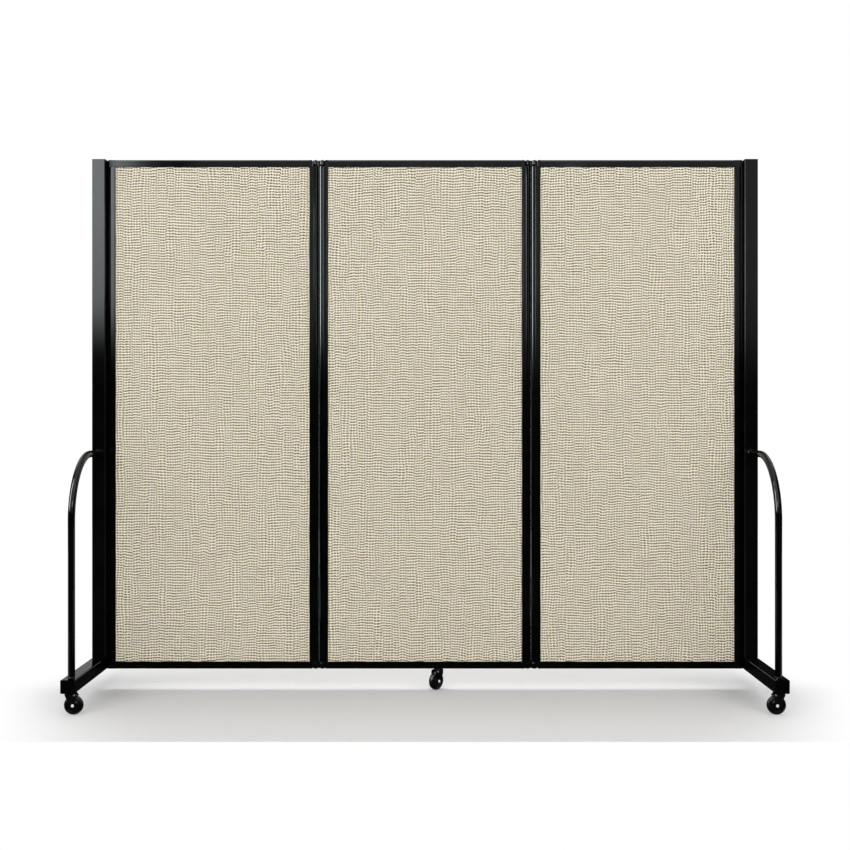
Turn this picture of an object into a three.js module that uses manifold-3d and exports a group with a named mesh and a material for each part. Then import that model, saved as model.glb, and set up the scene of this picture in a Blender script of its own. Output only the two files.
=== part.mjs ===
// A three-panel privacy screen on castors, in millimetres.
// +X runs to the right along the closed screen, +Y to its back, +Z up.
// The origin is on the floor under the middle of the screen.
import * as THREE from "three";
import { mergeVertices } from "three/addons/utils/BufferGeometryUtils.js";
import Module from "manifold-3d";

// Whole screen
const panelTop = 1524; // floor to the top edge of the panels
const panelPitch = 611.6; // hinge line to hinge line
const castorHeight = 60; // floor to the underside of the panels and feet
const seatGap = 0.3; // left between pieces that rest on each other
const overrun = 4; // by which a cutting solid passes the face it cuts
const bite = 1; // by which joined solids of one piece run into each other
const onAxis = 0.001; // a profile's point nearer than this to its axis has no mirror image

// Panel frame, measured from the hinge line inwards and from the outer edge inwards
const panelThickness = 19;
const noseGap = 0.1; // between the round noses of two panels, which close the sight line
const noseProud = 0.25; // of the round nose before the flat face of its stile
const noseTrim = 3.15; // cut flat from the nose that seats on a post
const stileWidth = 26.65; // nose tip to the visible edge of the fabric
const railHeight = 20;
const frameWall = 1.6;
const lipWidth = 3.5; // low inner lip round the fabric
const channelDepth = 6.6; // of the slot that takes the board's edge
const grooveWidth = 2.1; // pointed flute beside the nose
const grooveDepth = 4;
const ridgeRound = 1.5;
const railGrooveOffset = 6.3;
const railGrooveWidth = 1.2;
const railGrooveDepth = 1.2;
const railEdgeRound = 1.5;

// Fabric-covered board
const boardThickness = 11.4;
const boardClearance = 0.3; // to each side of its slot
const boardEdgeClearance = 0.6; // to the floor of its slot

// Corner blocks
const spigotLength = 16;
const spigotClearance = 0.3;
const pocketClearance = 0.5; // knuckle to the wall of its pocket
const pocketFloor = 2.2; // bearing plate under a knuckle
const pocketChamfer = 1.5;
const noseBlend = 2; // run over which a block rises from the nose to the flat face

// Hinge links
const pinRadius = 3;
const pinClearance = 0.3;
const pinLength = 20; // below the knuckle
const pinChamfer = 0.5;
const knuckleRadius = 8;
const knuckleChamfer = 1;
const waistRadius = 6.2;
const pinHeadRadius = 3.8;
const pinHeadHeight = 2.3;
const pinHeadShares = [[1, 0], [0.87, 0.5], [0.5, 1], [0, 1]]; // of the head's radius and height

// End frames
const postWidth = 38;
const postDepth = 64;
const postWall = 2;
const postDrop = 2; // of the post's top below the panels' top
const tubeCornerRadius = 2.5;
const footLength = 650;
const footHeight = 36;
const footWall = 2.5;
const footPlugMargin = 22; // of the solid end past the stem that it takes
const postBoltRadius = 5;
const castorInset = 28; // foot's end to the castor's swivel axis
const handleRadius = 9.5;
const handleHeight = 681; // floor to the middle of the tube where it leaves the post
const handleReach = 258; // post face to the middle of the tube's upright run
const handleBendRadius = 174;

// Castors
const middleCastorOffset = 37.5; // of the middle castor from the screen's middle
const middleCastorTurn = -132; // of the middle castor's trail from +X, in degrees
const wheelRadius = 25;
const wheelTrail = 8.3;
const tyreHalfWidth = 8;
const treadFlat = 1.8;
const tyreCrownShares = [[0.1, 0.58], [0.43, 0.88]]; // of the tyre's height and half width
const rimRadius = 21;
const rimWidth = 2.2;
const rimRaise = 1.6; // of rim and hub ring over the web
const webHalfWidth = 5.4;
const ringRadius = 12;
const hubRadius = 7;
const hubHalfWidth = 8.7;
const forkGap = 0.3; // between hub and fork plate
const plateThickness = 2.5;
const axleRadius = 3;
const axleClearance = 0.3;
const axleHeadRadius = 4;
const axleHeadRim = 0.9;
const axleHeadDome = 1;
const bossRadius = 8;
const crownHeight = 5;
const crownClearance = 1.5; // over the wheel
const crownLead = 14.6; // swivel axis to the leading edge
const crownTail = 8.5; // swivel axis to the end of the web over the wheel
const crownRound = 7;
const plateTail = 16.3; // swivel axis to the trailing edge
const plateTailRound = 4;
const neckRadius = 11.6;
const stemRadius = 4.7;
const stemLength = 11;
const stemChamfer = 0.8;
const stemClearance = 0.3;
const socketLength = 44; // insert in the middle panel's bottom rail

// Castor brakes
const brakePinReach = 12.1; // swivel axis to the brake's pin, along the trail
const brakePinDrop = 7.4; // castor's top to the brake's pin
const brakePinRadius = 1.6;
const brakePinClearance = 0.3;
const brakePinHead = 0.8; // thickness of the rivet head on the fork plate
const brakePinHeadRadius = 2.4;
const brakeHubRadius = 2.3;
const brakeCamClearance = 0.35; // to the wheel, with the pedal down
const brakeCamSpan = 22.5; // from the cam's tip round to the hub, in degrees
const brakePedalReach = 8.6;
const brakePedalThickness = 2;
const brakePedalSlope = 22; // below the level, in degrees
const brakeSideGap = 0.6;

// Counts of facets
const noseSteps = 5;
const cornerSteps = 2;
const pinFacets = 10;
const knuckleFacets = 12;
const handleFacets = 10;
const handleSteps = 18;
const wheelFacets = 18;
const smallFacets = 10;
const neckFacets = 12;
const bendSteps = 5;
const bossSteps = 5;
const headSteps = 3;

// Sizes that follow
const faceHalf = panelThickness / 2;
const noseRadius = faceHalf + noseProud;
const pivotOffset = noseGap / 2 + noseRadius;
const boreRadius = pinRadius + pinClearance;
const pocketReach = pivotOffset + knuckleRadius + pocketClearance;
const stileReach = noseGap / 2 + stileWidth;
const channelHalf = boardThickness / 2 + boardClearance;
const lipHalf = channelHalf + frameWall;
const panelHeight = panelTop - castorHeight;
const chamberNear = pivotOffset + boreRadius + frameWall;
const chamberFar = stileReach - channelDepth - frameWall;
const chamberHalf = faceHalf - frameWall;
const railChamberHalf = faceHalf - railGrooveDepth - frameWall;
const railChamberFar = railHeight - channelDepth - frameWall;
const blockHeight = railHeight - seatGap;
const pocketDepth = blockHeight - pocketFloor;
const panelsEnd = panelPitch + panelPitch / 2;
const postInner = panelsEnd - noseGap / 2 - noseTrim + seatGap;
const postCentre = postInner + postWidth / 2;
const footTop = castorHeight + footHeight;
const castorY = footLength / 2 - castorInset;
const handleY = postDepth / 2 + handleReach;
const stemHole = stemRadius + stemClearance;
const forkInner = hubHalfWidth + forkGap;
const forkOuter = forkInner + plateThickness;
const crownBottom = 2 * wheelRadius + crownClearance;
const crownTop = crownBottom + crownHeight;
const brakePinHeight = castorHeight - brakePinDrop;

const blackCoat = { color: 0x101112, roughness: 0.25, metalness: 0.0 };
const finishes = {
  frame: blackCoat,
  corner: { color: 0x151516, roughness: 0.4, metalness: 0.0 },
  fabric: { color: 0xcfc7ae, roughness: 0.95, metalness: 0.0 },
  steel: { color: 0x0e0f10, roughness: 0.2, metalness: 0.0 },
  castor: { color: 0x121212, roughness: 0.35, metalness: 0.0 },
  tread: { color: 0x181818, roughness: 0.6, metalness: 0.0 },
  axle: { color: 0xd8d8da, roughness: 0.15, metalness: 1.0 },
};

const wasm = await Module();
wasm.setup();

// Solids

function toSolid(geometry) {
  const bare = geometry.clone();
  bare.deleteAttribute("normal");
  bare.deleteAttribute("uv");
  const welded = mergeVertices(bare);
  const mesh = new wasm.Mesh({
    numProp: 3,
    vertProperties: welded.attributes.position.array,
    triVerts: new Uint32Array(welded.index.array),
  });
  return new wasm.Manifold(mesh);
}

function toGeometry(solid) {
  const mesh = solid.getMesh();
  const geometry = new THREE.BufferGeometry();
  geometry.setAttribute("position", new THREE.BufferAttribute(mesh.vertProperties, 3));
  geometry.setIndex(new THREE.BufferAttribute(mesh.triVerts, 1));
  const faceted = geometry.toNonIndexed();
  faceted.computeVertexNormals();
  return faceted;
}

function join(...geometries) {
  const solids = geometries.map(toSolid);
  return toGeometry(solids.reduce((whole, next) => whole.add(next)));
}

function cut(geometry, ...tools) {
  const solids = tools.map(toSolid);
  return toGeometry(solids.reduce((whole, next) => whole.subtract(next), toSolid(geometry)));
}

// Shapes

function arcPoints(x, y, radius, fromAngle, toAngle, steps) {
  const points = [];
  for (let i = 0; i <= steps; i += 1) {
    const angle = fromAngle + ((toAngle - fromAngle) * i) / steps;
    points.push(new THREE.Vector2(x + radius * Math.cos(angle), y + radius * Math.sin(angle)));
  }
  return points;
}

function circlePoints(x, y, radius, facets) {
  return arcPoints(x, y, radius, 0, 2 * Math.PI, facets).slice(0, facets);
}

function rectanglePoints(left, right, low, high) {
  return [
    new THREE.Vector2(left, low),
    new THREE.Vector2(right, low),
    new THREE.Vector2(right, high),
    new THREE.Vector2(left, high),
  ];
}

function roundedRectangle(width, height, radius) {
  const x = width / 2 - radius;
  const y = height / 2 - radius;
  const quarter = Math.PI / 2;
  return new THREE.Shape([
    ...arcPoints(x, y, radius, 0, quarter, cornerSteps),
    ...arcPoints(-x, y, radius, quarter, 2 * quarter, cornerSteps),
    ...arcPoints(-x, -y, radius, 2 * quarter, 3 * quarter, cornerSteps),
    ...arcPoints(x, -y, radius, 3 * quarter, 4 * quarter, cornerSteps),
  ]);
}

// Closes an outline whose upper half is given, by its mirror image below the X axis.
function mirroredShape(upper) {
  const lower = upper.filter((p) => p.y > onAxis).map((p) => new THREE.Vector2(p.x, -p.y));
  return new THREE.Shape([...upper, ...lower.reverse()]);
}

function extrude(shape, length) {
  return new THREE.ExtrudeGeometry(shape, { depth: length, bevelEnabled: false });
}

// Turns an outline drawn in X and Z, with its depth centred across Y.
function extrudeAcross(shape, width) {
  return extrude(shape, width).rotateX(Math.PI / 2).translate(0, width / 2, 0);
}

function box(xRange, yRange, zRange) {
  const [x0, x1] = xRange;
  const [y0, y1] = yRange;
  const [z0, z1] = zRange;
  const geometry = new THREE.BoxGeometry(x1 - x0, y1 - y0, z1 - z0);
  return geometry.translate((x0 + x1) / 2, (y0 + y1) / 2, (z0 + z1) / 2);
}

// A round solid about the Z axis, from [radius, height] pairs listed upwards.
function turnedUpright(profile, facets) {
  return turnedAcross(profile, facets).rotateX(Math.PI / 2);
}

// A round solid about the Y axis, from [radius, distance] pairs.
function turnedAcross(profile, facets) {
  const points = profile.map(([radius, along]) => new THREE.Vector2(radius, along));
  return new THREE.LatheGeometry(points, facets);
}

function rod(radius, from, to, facets) {
  return turnedUpright([[0, from], [radius, from], [radius, to], [0, to]], facets);
}

function crossRod(radius, halfLength, facets) {
  const ends = [[0, -halfLength], [radius, -halfLength], [radius, halfLength], [0, halfLength]];
  return turnedAcross(ends, facets);
}

// Panel frame

function noseArc(trim) {
  const opening = Math.acos((noseRadius - trim) / noseRadius);
  return arcPoints(pivotOffset, 0, noseRadius, Math.PI - opening, Math.PI / 2, noseSteps);
}

// Section of the upright frame member: round nose, flute, flat face, low lip and board slot.
function stileShape(trim) {
  const ridge = pivotOffset + grooveWidth;
  const grooveFloor = faceHalf - grooveDepth;
  const shape = mirroredShape([
    ...noseArc(trim),
    new THREE.Vector2(pivotOffset + grooveWidth / 2, grooveFloor),
    ...arcPoints(ridge + ridgeRound, faceHalf - ridgeRound, ridgeRound, Math.PI, Math.PI / 2, cornerSteps),
    new THREE.Vector2(stileReach - lipWidth, faceHalf),
    new THREE.Vector2(stileReach - lipWidth, lipHalf),
    new THREE.Vector2(stileReach, lipHalf),
    new THREE.Vector2(stileReach, channelHalf),
    new THREE.Vector2(stileReach - channelDepth, channelHalf),
  ]);
  shape.holes.push(new THREE.Path(circlePoints(pivotOffset, 0, boreRadius, pinFacets)));
  shape.holes.push(new THREE.Path(rectanglePoints(chamberNear, chamberFar, -chamberHalf, chamberHalf)));
  return shape;
}

function stileGeometry(trim) {
  const length = panelHeight - 2 * railHeight;
  return extrude(stileShape(trim), length).translate(0, 0, castorHeight + railHeight);
}

// Section of the level frame member, with its outer edge at zero.
function railShape() {
  const grooveEnd = railGrooveOffset + railGrooveWidth;
  const shape = mirroredShape([
    ...arcPoints(railEdgeRound, faceHalf - railEdgeRound, railEdgeRound, Math.PI, Math.PI / 2, cornerSteps),
    new THREE.Vector2(railGrooveOffset, faceHalf),
    new THREE.Vector2(railGrooveOffset, faceHalf - railGrooveDepth),
    new THREE.Vector2(grooveEnd, faceHalf - railGrooveDepth),
    new THREE.Vector2(grooveEnd, faceHalf),
    new THREE.Vector2(railHeight - lipWidth, faceHalf),
    new THREE.Vector2(railHeight - lipWidth, lipHalf),
    new THREE.Vector2(railHeight, lipHalf),
    new THREE.Vector2(railHeight, channelHalf),
    new THREE.Vector2(railHeight - channelDepth, channelHalf),
  ]);
  const chamber = rectanglePoints(frameWall, railChamberFar, -railChamberHalf, railChamberHalf);
  shape.holes.push(new THREE.Path(chamber));
  return shape;
}

function railGeometry() {
  const length = panelPitch - 2 * stileReach;
  return extrude(railShape(), length).translate(0, 0, -length / 2).rotateY(Math.PI / 2);
}

// Rail drilled through its outer edge for the middle castor's stem.
function drilledRailGeometry() {
  const hole = rod(stemHole, -frameWall - bite, overrun, smallFacets);
  return cut(railGeometry(), hole.translate(middleCastorOffset, 0, 0));
}

function boardGeometry() {
  const edge = channelDepth - boardEdgeClearance;
  const width = panelPitch - 2 * stileReach + 2 * edge;
  const height = panelHeight - 2 * railHeight + 2 * edge;
  return new THREE.BoxGeometry(width, boardThickness, height);
}

// Corner blocks: origin where the hinge line meets the panel's outer edge, body below it.

function blockBody(trim) {
  const shape = mirroredShape([
    ...noseArc(trim),
    new THREE.Vector2(pivotOffset + noseBlend, faceHalf),
    new THREE.Vector2(stileReach - seatGap, faceHalf),
  ]);
  return extrude(shape, blockHeight).translate(0, 0, -blockHeight);
}

function stileSpigot() {
  const half = chamberHalf - spigotClearance;
  return box(
    [chamberNear + spigotClearance, chamberFar - spigotClearance],
    [-half, half],
    [-railHeight - spigotLength, -blockHeight + bite],
  );
}

function railSpigot() {
  const half = railChamberHalf - spigotClearance;
  return box(
    [stileReach - seatGap - bite, stileReach + spigotLength],
    [-half, half],
    [-railChamberFar + spigotClearance, -frameWall - spigotClearance],
  );
}

function boardSlot() {
  return box(
    [stileReach - channelDepth, stileReach + overrun],
    [-channelHalf, channelHalf],
    [-railHeight - overrun, channelDepth - railHeight],
  );
}

function endBlockGeometry() {
  const body = cut(blockBody(noseTrim), boardSlot());
  return join(body, stileSpigot(), railSpigot());
}

// Outline, in X and Z, of the room that a knuckle turns in, with a bevelled top edge.
function pocketShape() {
  return new THREE.Shape([
    new THREE.Vector2(-overrun, -pocketDepth),
    new THREE.Vector2(pocketReach, -pocketDepth),
    new THREE.Vector2(pocketReach, -pocketChamfer),
    new THREE.Vector2(pocketReach + pocketChamfer + overrun, overrun),
    new THREE.Vector2(-overrun, overrun),
  ]);
}

function hingeBlockGeometry() {
  const pocket = extrudeAcross(pocketShape(), panelThickness + 2 * overrun);
  const bore = rod(boreRadius, -railHeight - overrun, overrun, pinFacets).translate(pivotOffset, 0, 0);
  const body = cut(blockBody(0), boardSlot(), pocket, bore);
  return join(body, stileSpigot(), railSpigot());
}

// Hinge link: two knuckles with their pins, and a waist between, below the panels' edge.

function knuckle() {
  const foot = seatGap - pocketDepth;
  const head = pinHeadShares.map(([radius, height]) => [radius * pinHeadRadius, height * pinHeadHeight]);
  const profile = [
    [0, foot - pinLength],
    [pinRadius - pinChamfer, foot - pinLength],
    [pinRadius, foot - pinLength + pinChamfer],
    [pinRadius, foot],
    [knuckleRadius, foot],
    [knuckleRadius, -knuckleChamfer],
    [knuckleRadius - knuckleChamfer, 0],
    ...head,
  ];
  return turnedUpright(profile, knuckleFacets);
}

function waist() {
  return rod(waistRadius, seatGap - pocketDepth, -knuckleChamfer, knuckleFacets);
}

function linkGeometry() {
  return join(
    knuckle().translate(-pivotOffset, 0, 0),
    waist(),
    knuckle().translate(pivotOffset, 0, 0),
  );
}

// End frames

function postGeometry() {
  const low = footTop + seatGap;
  const high = panelTop - postDrop;
  const outer = extrude(roundedRectangle(postWidth, postDepth, tubeCornerRadius), high - low);
  const inside = box(
    [postWall - postWidth / 2, postWidth / 2 - postWall],
    [postWall - postDepth / 2, postDepth / 2 - postWall],
    [low - overrun, high - postWall],
  );
  return cut(outer.translate(0, 0, low), inside);
}

function footGeometry() {
  const outer = extrudeAcross(roundedRectangle(postWidth, footHeight, tubeCornerRadius), footLength);
  const centre = castorHeight + footHeight / 2;
  const cavityEnd = castorY - footPlugMargin;
  const cavity = box(
    [footWall - postWidth / 2, postWidth / 2 - footWall],
    [-cavityEnd, cavityEnd],
    [castorHeight + footWall, footTop - footWall],
  );
  const boltHole = rod(postBoltRadius, footTop - footWall - bite, footTop + overrun, smallFacets);
  const stemHoles = [-castorY, castorY].map((y) => {
    const hole = rod(stemHole, castorHeight - overrun, castorHeight + stemLength + bite, smallFacets);
    return hole.translate(0, y, 0);
  });
  return cut(outer.translate(0, 0, centre), cavity, boltHole, ...stemHoles);
}

// A bent tube that leaves the post level, turns down and lands on the foot near its end.
class HandlePath extends THREE.Curve {
  getPoint(share, target = new THREE.Vector3()) {
    const start = postDepth / 2 + seatGap;
    const straight = handleY - handleBendRadius - start;
    const bend = (handleBendRadius * Math.PI) / 2;
    const drop = handleHeight - handleBendRadius - footTop - seatGap;
    const along = share * (straight + bend + drop);
    if (along <= straight) return target.set(0, -start - along, handleHeight);
    if (along >= straight + bend) {
      const fallen = along - straight - bend;
      return target.set(0, -handleY, handleHeight - handleBendRadius - fallen);
    }
    const turn = (along - straight) / handleBendRadius;
    const y = -start - straight - handleBendRadius * Math.sin(turn);
    return target.set(0, y, handleHeight - handleBendRadius * (1 - Math.cos(turn)));
  }
}

function handleGeometry() {
  const section = new THREE.Shape(circlePoints(0, 0, handleRadius, handleFacets));
  const options = { steps: handleSteps, extrudePath: new HandlePath(), bevelEnabled: false };
  return new THREE.ExtrudeGeometry(section, options);
}

// Castor, with its swivel axis on Z and its wheel trailing towards +X

// Half section of the wheel from the bore out to the tread, on one side.
function wheelSide() {
  const web = webHalfWidth;
  const raised = webHalfWidth + rimRaise;
  const tyreHeight = wheelRadius - rimRadius;
  const crown = tyreCrownShares.map(([drop, width]) => [
    wheelRadius - drop * tyreHeight,
    width * tyreHalfWidth,
  ]);
  return [
    [axleRadius + axleClearance, hubHalfWidth],
    [hubRadius, hubHalfWidth],
    [hubRadius, web],
    [ringRadius, web],
    [ringRadius + rimRaise, raised],
    [rimRadius - rimWidth, raised],
    [rimRadius, tyreHalfWidth],
    ...crown.reverse(),
    [wheelRadius, treadFlat],
  ];
}

function wheelGeometry() {
  const side = wheelSide();
  const mirrored = side.map(([radius, along]) => [radius, -along]);
  const profile = [...mirrored, ...side.reverse()];
  return turnedAcross([...profile, profile[0]], wheelFacets);
}

function axleGeometry() {
  const seat = forkOuter + seatGap;
  const profile = [
    [axleRadius, seat],
    [axleHeadRadius, seat],
    [axleHeadRadius, seat + axleHeadRim],
    [axleHeadRadius / 2, seat + axleHeadRim + axleHeadDome],
    [0, seat + axleHeadRim + axleHeadDome],
  ];
  const mirrored = profile.map(([radius, along]) => [radius, -along]).reverse();
  return turnedAcross([...mirrored, ...profile], smallFacets);
}

// Side plate of the fork: a wide head that sweeps down to a round boss at the axle.
function plateShape() {
  const bossLow = arcPoints(wheelTrail, wheelRadius, bossRadius, 0, -Math.PI, bossSteps);
  const sweep = new THREE.QuadraticBezierCurve(
    new THREE.Vector2(wheelTrail - bossRadius, wheelRadius),
    new THREE.Vector2(bossRadius - crownLead, wheelRadius + 2 * bossRadius),
    new THREE.Vector2(-crownLead, crownTop - plateTailRound),
  );
  return new THREE.Shape([
    ...bossLow,
    ...sweep.getPoints(bendSteps).slice(1),
    new THREE.Vector2(-crownLead, crownTop),
    ...arcPoints(
      plateTail - plateTailRound, crownTop - plateTailRound, plateTailRound, Math.PI / 2, 0, headSteps,
    ),
  ]);
}

// Outline of the fork's head from above: rounded where it leads, square over the wheel.
function headShape() {
  const x = crownRound - crownLead;
  const y = forkOuter - crownRound;
  return mirroredShape([
    ...arcPoints(x, y, crownRound, Math.PI, Math.PI / 2, headSteps),
    new THREE.Vector2(crownTail, forkOuter),
  ]);
}

// What lies outside the rounded lead, down the whole height of the plates.
function headRounding() {
  const block = box(
    [-crownLead - overrun, crownRound - crownLead],
    [-forkOuter - overrun, forkOuter + overrun],
    [0, crownTop + overrun],
  );
  return cut(block, extrude(headShape(), castorHeight + overrun).translate(0, 0, -overrun / 2));
}

function neckAndStem() {
  const seat = castorHeight - seatGap;
  const end = castorHeight + stemLength;
  const profile = [
    [0, crownTop - bite],
    [neckRadius, crownTop - bite],
    [neckRadius, seat],
    [stemRadius, seat],
    [stemRadius, end - stemChamfer],
    [stemRadius - stemChamfer, end],
    [0, end],
  ];
  return turnedUpright(profile, neckFacets);
}

function forkGeometry() {
  const plates = extrudeAcross(plateShape(), 2 * forkOuter);
  const wheelRoom = box(
    [-crownLead - overrun, plateTail + overrun],
    [-forkInner, forkInner],
    [-overrun, crownTop + overrun],
  );
  const crown = extrude(headShape(), crownHeight).translate(0, 0, crownBottom);
  const axleHole = crossRod(axleRadius + axleClearance, forkOuter + overrun, smallFacets);
  const brakeHole = crossRod(brakePinRadius + brakePinClearance, forkOuter + overrun, smallFacets);
  return cut(
    join(cut(plates, wheelRoom, headRounding()), crown, neckAndStem()),
    axleHole.translate(wheelTrail, 0, wheelRadius),
    brakeHole.translate(brakePinReach, 0, brakePinHeight),
  );
}

// Foot lever with its pedal level: a hub on its pin, a cam over the tread and a pedal past the fork.
function brakeShape(camRadius, camAngle) {
  const hubStart = camAngle - (brakeCamSpan * Math.PI) / 180;
  const pedalEnd = brakePedalReach - brakePedalThickness / 2;
  return new THREE.Shape([
    new THREE.Vector2(0, brakeHubRadius),
    ...arcPoints(pedalEnd, 0, brakePedalThickness / 2, Math.PI / 2, -Math.PI / 2, headSteps),
    new THREE.Vector2(brakeHubRadius, -brakePedalThickness / 2),
    new THREE.Vector2(camRadius * Math.cos(camAngle), camRadius * Math.sin(camAngle)),
    ...arcPoints(0, 0, brakeHubRadius, hubStart, Math.PI / 2 - 2 * Math.PI, bossSteps).slice(0, -1),
  ]);
}

function brakeGeometry() {
  const across = brakePinReach - wheelTrail;
  const rise = brakePinHeight - wheelRadius;
  const slope = (brakePedalSlope * Math.PI) / 180;
  const camRadius = Math.hypot(across, rise) - wheelRadius - brakeCamClearance;
  const camAngle = -Math.PI + Math.atan2(rise, across) + slope;
  const lever = extrudeAcross(brakeShape(camRadius, camAngle), 2 * (forkInner - brakeSideGap));
  const headMiddle = forkOuter + seatGap + brakePinHead / 2;
  const pin = crossRod(brakePinRadius, headMiddle, smallFacets);
  const heads = [-headMiddle, headMiddle].map((y) =>
    crossRod(brakePinHeadRadius, brakePinHead / 2, smallFacets).translate(0, y, 0));
  const whole = join(lever, pin, ...heads).rotateY(slope);
  return whole.translate(brakePinReach, 0, brakePinHeight);
}

function socketGeometry() {
  const half = railChamberHalf - spigotClearance;
  const body = box(
    [-socketLength / 2, socketLength / 2],
    [-half, half],
    [frameWall + spigotClearance, railChamberFar - spigotClearance],
  );
  return cut(body, rod(stemHole, -overrun, railHeight, smallFacets));
}

// Assembly

function addMesh(parent, name, geometry, finish) {
  const mesh = new THREE.Mesh(geometry, new THREE.MeshStandardMaterial(finishes[finish]));
  mesh.name = name;
  parent.add(mesh);
  return mesh;
}

function addStile(panel, name, side, kind) {
  const shape = stileGeometry(kind === "post" ? noseTrim : 0);
  const stile = addMesh(panel, `${name}_stile_${side}`, shape, "frame");
  stile.position.x = side === "left" ? -panelPitch / 2 : panelPitch / 2;
  if (side === "right") stile.rotation.z = Math.PI;
}

function addCorner(panel, name, side, level, kind) {
  const shape = kind === "post" ? endBlockGeometry() : hingeBlockGeometry();
  const block = addMesh(panel, `${name}_corner_${level}_${side}`, shape, "corner");
  const x = side === "left" ? -panelPitch / 2 : panelPitch / 2;
  block.position.set(x, 0, level === "top" ? panelTop : castorHeight);
  if (level === "bottom") block.rotation[side === "left" ? "x" : "y"] = Math.PI;
  else if (side === "right") block.rotation.z = Math.PI;
}

// One panel of the screen, whose left and right ends meet a "hinge" or a "post".
function addPanel(parent, name, centre, kinds, bottomRailGeometry) {
  const panel = new THREE.Group();
  panel.position.x = centre;
  parent.add(panel);
  ["left", "right"].forEach((side) => {
    addStile(panel, name, side, kinds[side]);
    ["top", "bottom"].forEach((level) => addCorner(panel, name, side, level, kinds[side]));
  });
  addMesh(panel, `${name}_rail_top`, railGeometry(), "frame").position.z = panelTop;
  const bottomRail = addMesh(panel, `${name}_rail_bottom`, bottomRailGeometry(), "frame");
  bottomRail.position.z = castorHeight;
  bottomRail.rotation.x = Math.PI;
  const board = addMesh(panel, `${name}_fabric`, boardGeometry(), "fabric");
  board.position.z = castorHeight + panelHeight / 2;
}

function addHinge(parent, name, x) {
  const top = addMesh(parent, `${name}_link_top`, linkGeometry(), "corner");
  top.position.set(x, 0, panelTop);
  const bottom = addMesh(parent, `${name}_link_bottom`, linkGeometry(), "corner");
  bottom.position.set(x, 0, castorHeight);
  bottom.rotation.x = Math.PI;
}

function addEndFrame(parent, side, x) {
  const frame = new THREE.Group();
  frame.position.x = x;
  parent.add(frame);
  addMesh(frame, `${side}_post`, postGeometry(), "steel");
  addMesh(frame, `${side}_foot`, footGeometry(), "steel");
  addMesh(frame, `${side}_handle_front`, handleGeometry(), "steel");
  const rear = addMesh(frame, `${side}_handle_rear`, handleGeometry(), "steel");
  rear.rotation.z = Math.PI;
}

// A castor that stands at x and y and trails towards an angle from +X.
function addCastor(parent, name, x, y, trailAngle) {
  const castor = new THREE.Group();
  castor.position.set(x, y, 0);
  castor.rotation.z = trailAngle;
  parent.add(castor);
  addMesh(castor, `${name}_fork`, forkGeometry(), "castor");
  const wheel = addMesh(castor, `${name}_wheel`, wheelGeometry(), "tread");
  wheel.position.set(wheelTrail, 0, wheelRadius);
  const axle = addMesh(castor, `${name}_axle`, axleGeometry(), "axle");
  axle.position.copy(wheel.position);
  addMesh(castor, `${name}_brake`, brakeGeometry(), "castor");
}

function buildScreen() {
  const screen = new THREE.Group();
  addPanel(screen, "left_panel", -panelPitch, { left: "post", right: "hinge" }, railGeometry);
  addPanel(screen, "middle_panel", 0, { left: "hinge", right: "hinge" }, drilledRailGeometry);
  addPanel(screen, "right_panel", panelPitch, { left: "hinge", right: "post" }, railGeometry);
  addHinge(screen, "left_hinge", -panelPitch / 2);
  addHinge(screen, "right_hinge", panelPitch / 2);
  addEndFrame(screen, "left", -postCentre);
  addEndFrame(screen, "right", postCentre);
  addCastor(screen, "front_left_castor", -postCentre, -castorY, 0);
  addCastor(screen, "rear_left_castor", -postCentre, castorY, 0);
  addCastor(screen, "front_right_castor", postCentre, -castorY, Math.PI);
  addCastor(screen, "rear_right_castor", postCentre, castorY, Math.PI);
  addCastor(screen, "middle_castor", middleCastorOffset, 0, (middleCastorTurn * Math.PI) / 180);
  const socket = addMesh(screen, "middle_castor_socket", socketGeometry(), "steel");
  socket.position.set(middleCastorOffset, 0, castorHeight);
  return screen;
}

export default buildScreen();
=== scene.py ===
"""Looks of the three-panel privacy screen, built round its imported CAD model. Lengths are in metres."""

import math

import bmesh
import bpy
from mathutils import Matrix, Vector


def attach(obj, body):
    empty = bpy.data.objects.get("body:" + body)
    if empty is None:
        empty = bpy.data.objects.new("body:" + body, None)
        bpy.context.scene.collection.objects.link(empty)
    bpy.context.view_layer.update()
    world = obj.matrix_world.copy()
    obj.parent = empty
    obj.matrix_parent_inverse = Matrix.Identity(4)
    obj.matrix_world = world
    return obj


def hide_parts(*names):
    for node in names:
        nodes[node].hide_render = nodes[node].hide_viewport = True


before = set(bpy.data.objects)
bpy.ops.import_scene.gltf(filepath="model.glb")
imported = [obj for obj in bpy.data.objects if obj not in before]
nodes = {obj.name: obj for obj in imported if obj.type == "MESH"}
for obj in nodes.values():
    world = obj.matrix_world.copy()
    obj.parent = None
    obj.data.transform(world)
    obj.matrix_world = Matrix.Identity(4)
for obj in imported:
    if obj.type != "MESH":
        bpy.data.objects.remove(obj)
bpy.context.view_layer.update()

# Sizes shared with the CAD source: panels
PANEL_TOP = 1.524
PANEL_PITCH = 0.6116
STILE_REACH = 0.0267
RAIL_HEIGHT = 0.020
BOARD_HALF = 0.0057
BOARD_TUCK = 0.0060
SEAT_GAP = 0.0003
PANEL_CENTRES = {"left_panel": -PANEL_PITCH, "middle_panel": 0.0, "right_panel": PANEL_PITCH}

# Sizes shared with the CAD source: hinge links
PIVOT_OFFSET = 0.0098
POCKET_DEPTH = 0.0175

# Sizes shared with the CAD source: end frames
POST_CENTRE = 0.9335
POST_FACE = 0.032
FOOT_TOP = 0.096
HANDLE_RADIUS = 0.0095
HANDLE_HEIGHT = 0.681
HANDLE_Y = 0.290
HANDLE_BEND = 0.174

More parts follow.
